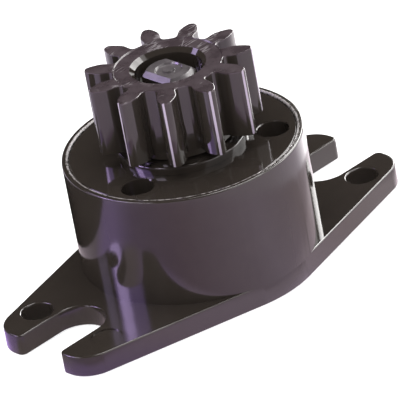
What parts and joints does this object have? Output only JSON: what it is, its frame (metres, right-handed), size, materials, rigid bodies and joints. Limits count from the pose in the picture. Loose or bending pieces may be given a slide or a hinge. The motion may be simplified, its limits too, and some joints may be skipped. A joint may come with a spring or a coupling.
{
  "type": "rotary damper",
  "caption": "Gear-type rotary damper: a round fluid-filled housing on a flange with open-ended fixing slots, and a toothed pinion on its shaft that slows a lid or drawer.",
  "frame": {"origin": "centre of the flange underside, on the shaft axis", "axes": "+Z along the shaft towards the pinion, +X along the flange through both fixing slots"},
  "size_m": [0.0278, 0.015, 0.0139],
  "materials": {
    "housing": "glossy black moulded plastic",
    "lid": "glossy black moulded plastic",
    "rotor": "glossy black moulded plastic",
    "shaft_seal": "matt black rubber",
    "pinion": "glossy black moulded plastic with light scuffs on its upper end"
  },
  "bodies": {
    "housing": {"housing": "housing", "lid": "lid", "shaft_seal": "shaft_seal"},
    "rotor": {"rotor": "rotor", "pinion": "pinion"}
  },
  "joints": [
    {"name": "rotor_spin", "type": "hinge", "parent": "housing", "child": "rotor", "pos_m": [0, 0, 0], "axis": [0, 0, 1], "continuous": true}
  ]
}
